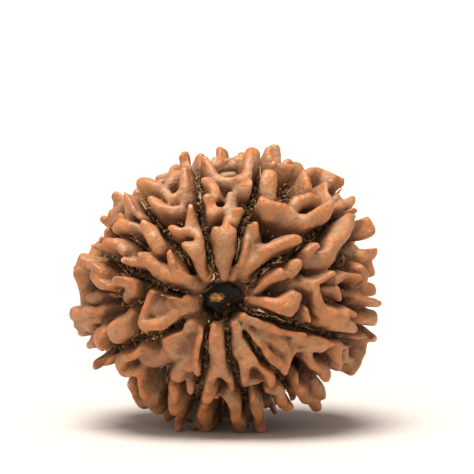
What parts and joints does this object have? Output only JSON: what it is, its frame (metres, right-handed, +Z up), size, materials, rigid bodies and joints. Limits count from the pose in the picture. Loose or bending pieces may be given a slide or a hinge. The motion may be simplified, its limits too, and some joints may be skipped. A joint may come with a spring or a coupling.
{
  "type": "rudraksha seed",
  "caption": "Dried rudraksha seed: a roundish woody nut with deep clefts from mouth to base and knobbed ridges between them, lying on its side on a few worn knobs",
  "frame": {"origin": "on the resting surface, below the middle of the seed's box", "axes": "+Z up as it rests, -Y out of the mouth, +X along its widest side"},
  "size_m": [0.0238, 0.0194, 0.0218],
  "materials": {
    "rudraksha_seed": "satin"
  },
  "bodies": {
    "root": {"rudraksha_seed": "rudraksha_seed"}
  },
  "joints": []
}
